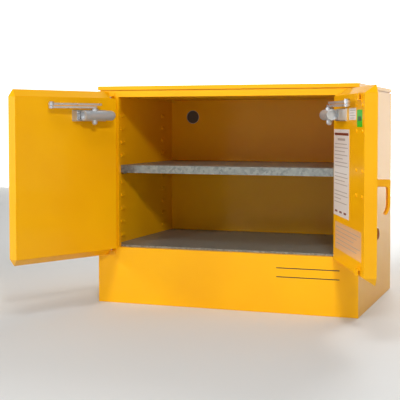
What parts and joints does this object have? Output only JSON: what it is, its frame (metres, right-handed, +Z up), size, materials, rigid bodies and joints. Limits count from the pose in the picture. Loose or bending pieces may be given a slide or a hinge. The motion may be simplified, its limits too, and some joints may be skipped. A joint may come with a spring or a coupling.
{
  "type": "flammable liquids storage cabinet",
  "caption": "Low double-walled steel cabinet for flammable liquids, with hinged doors on hydraulic closers, a shelf, a leakproof sump, vents and a latching handle",
  "frame": {"origin": "middle of the footprint, on the floor under the bottom plate", "axes": "+Z up, -Y out of the door opening towards the user, +X to the right of someone facing the doors; both doors stand open at rest"},
  "size_m": [1.2189, 1.0393, 0.765],
  "materials": {
    "yellow_paint": "glossy powder coat",
    "zinc_sheet": "zinc plated",
    "galvanised_sheet": "hot-dip galvanised",
    "screen": "woven wire screen",
    "brass": "plain",
    "bush_brass": "sintered",
    "pin_steel": "bright",
    "closer_silver": "silver paint, satin",
    "arm_silver": "satin plated",
    "amber_plastic": "glossy",
    "brushed_lock": "brushed",
    "paper_label": "printed vinyl",
    "green_label": "printed vinyl"
  },
  "bodies": {
    "cabinet": {"side_panel_left": "yellow_paint", "side_panel_right": "yellow_paint", "top_cap": "yellow_paint", "back_panel": "yellow_paint", "base_front_panel": "yellow_paint", "bottom_plate": "yellow_paint", "header_rail": "yellow_paint", "door_jamb_left": "yellow_paint", "door_jamb_right": "yellow_paint", "liner_side_left": "yellow_paint", "liner_side_right": "yellow_paint", "liner_back": "yellow_paint", "liner_top": "yellow_paint", "wall_spacers": "zinc_sheet", "sump_tray": "yellow_paint", "sump_bearers": "zinc_sheet", "sump_floor": "galvanised_sheet", "shelf": "galvanised_sheet", "shelf_clips": "zinc_sheet", "vent_tubes": "zinc_sheet", "flash_arrestors": "screen", "vent_caps": "yellow_paint", "earth_stud": "brass", "earth_nuts": "brass", "hinge_brackets": "yellow_paint", "hinge_pins": "pin_steel"},
    "left_door": {"left_door_outer_skin": "yellow_paint", "left_door_inner_skin": "yellow_paint", "left_door_stiffener": "zinc_sheet", "left_hinge_bushes": "bush_brass", "left_closer_base": "closer_silver", "left_closer_screws": "pin_steel", "left_closer_body": "closer_silver"},
    "left_closer_arm": {"left_closer_spindle": "pin_steel", "left_closer_main_arm": "arm_silver", "left_elbow_pin": "pin_steel"},
    "left_closer_forearm_body": {"left_closer_forearm": "arm_silver"},
    "right_door": {"right_door_outer_skin": "yellow_paint", "right_door_inner_skin": "yellow_paint", "right_door_stiffener": "zinc_sheet", "right_hinge_bushes": "bush_brass", "right_closer_base": "closer_silver", "right_closer_screws": "pin_steel", "right_closer_body": "closer_silver", "right_handle_rose": "yellow_paint", "right_rod_guides": "zinc_sheet", "right_guide_rivets": "yellow_paint", "right_lock_bezel": "amber_plastic", "right_door_label": "paper_label", "right_small_label": "paper_label", "right_green_sticker": "green_label"},
    "right_closer_arm": {"right_closer_spindle": "pin_steel", "right_closer_main_arm": "arm_silver", "right_elbow_pin": "pin_steel"},
    "right_closer_forearm_body": {"right_closer_forearm": "arm_silver"},
    "handle": {"right_lever_handle": "yellow_paint", "right_latch_cam": "zinc_sheet"},
    "latch_top": {"right_latch_rod_top": "yellow_paint"},
    "latch_bottom": {"right_latch_rod_bottom": "yellow_paint"},
    "lock": {"right_lock_cylinder": "brushed_lock"}
  },
  "joints": [
    {"name": "left_door_hinge", "type": "hinge", "parent": "cabinet", "child": "left_door", "pos_m": [-0.409, -0.331, 0.45825], "axis": [0, 0, 1], "range_deg": [0, 114.5]},
    {"name": "right_door_hinge", "type": "hinge", "parent": "cabinet", "child": "right_door", "pos_m": [0.409, -0.331, 0.45825], "axis": [0, 0, -1], "range_deg": [0, 114.5]},
    {"name": "left_closer_arm_turn", "type": "hinge", "parent": "left_door", "child": "left_closer_arm", "pos_m": [-0.40334, -0.46326, 0.69], "axis": [0, 0, 1], "range_deg": [0, 60]},
    {"name": "left_closer_elbow", "type": "hinge", "parent": "left_closer_arm", "child": "left_closer_forearm_body", "pos_m": [-0.48905, -0.60552, 0.699], "axis": [0, 0, 1], "range_deg": [-120, 0]},
    {"name": "right_closer_arm_turn", "type": "hinge", "parent": "right_door", "child": "right_closer_arm", "pos_m": [0.40334, -0.46326, 0.69], "axis": [0, 0, -1], "range_deg": [0, 60]},
    {"name": "right_closer_elbow", "type": "hinge", "parent": "right_closer_arm", "child": "right_closer_forearm_body", "pos_m": [0.48905, -0.60552, 0.699], "axis": [0, 0, -1], "range_deg": [-120, 0]},
    {"name": "handle_turn", "type": "hinge", "parent": "right_door", "child": "handle", "pos_m": [0.57027, -0.63664, 0.463], "axis": [0.91, 0.4147, 0], "range_deg": [0, 90]},
    {"name": "latch_top_slide", "type": "slide", "parent": "right_door", "child": "latch_top", "axis": [0, 0, 1], "range_m": [0, 0.014]},
    {"name": "latch_bottom_slide", "type": "slide", "parent": "right_door", "child": "latch_bottom", "axis": [0, 0, -1], "range_m": [0, 0.014]},
    {"name": "lock_turn", "type": "hinge", "parent": "right_door", "child": "lock", "pos_m": [0.58312, -0.66485, 0.32], "axis": [0.91, 0.4147, 0], "range_deg": [0, 90]}
  ],
  "couplings": [
    {"joint": "left_closer_elbow", "follows": "left_closer_arm_turn", "ratio": -2},
    {"joint": "right_closer_elbow", "follows": "right_closer_arm_turn", "ratio": -2},
    {"joint": "latch_top_slide", "follows": "handle_turn", "m_per_rad": 0.0089127},
    {"joint": "latch_bottom_slide", "follows": "handle_turn", "m_per_rad": 0.0089127}
  ]
}
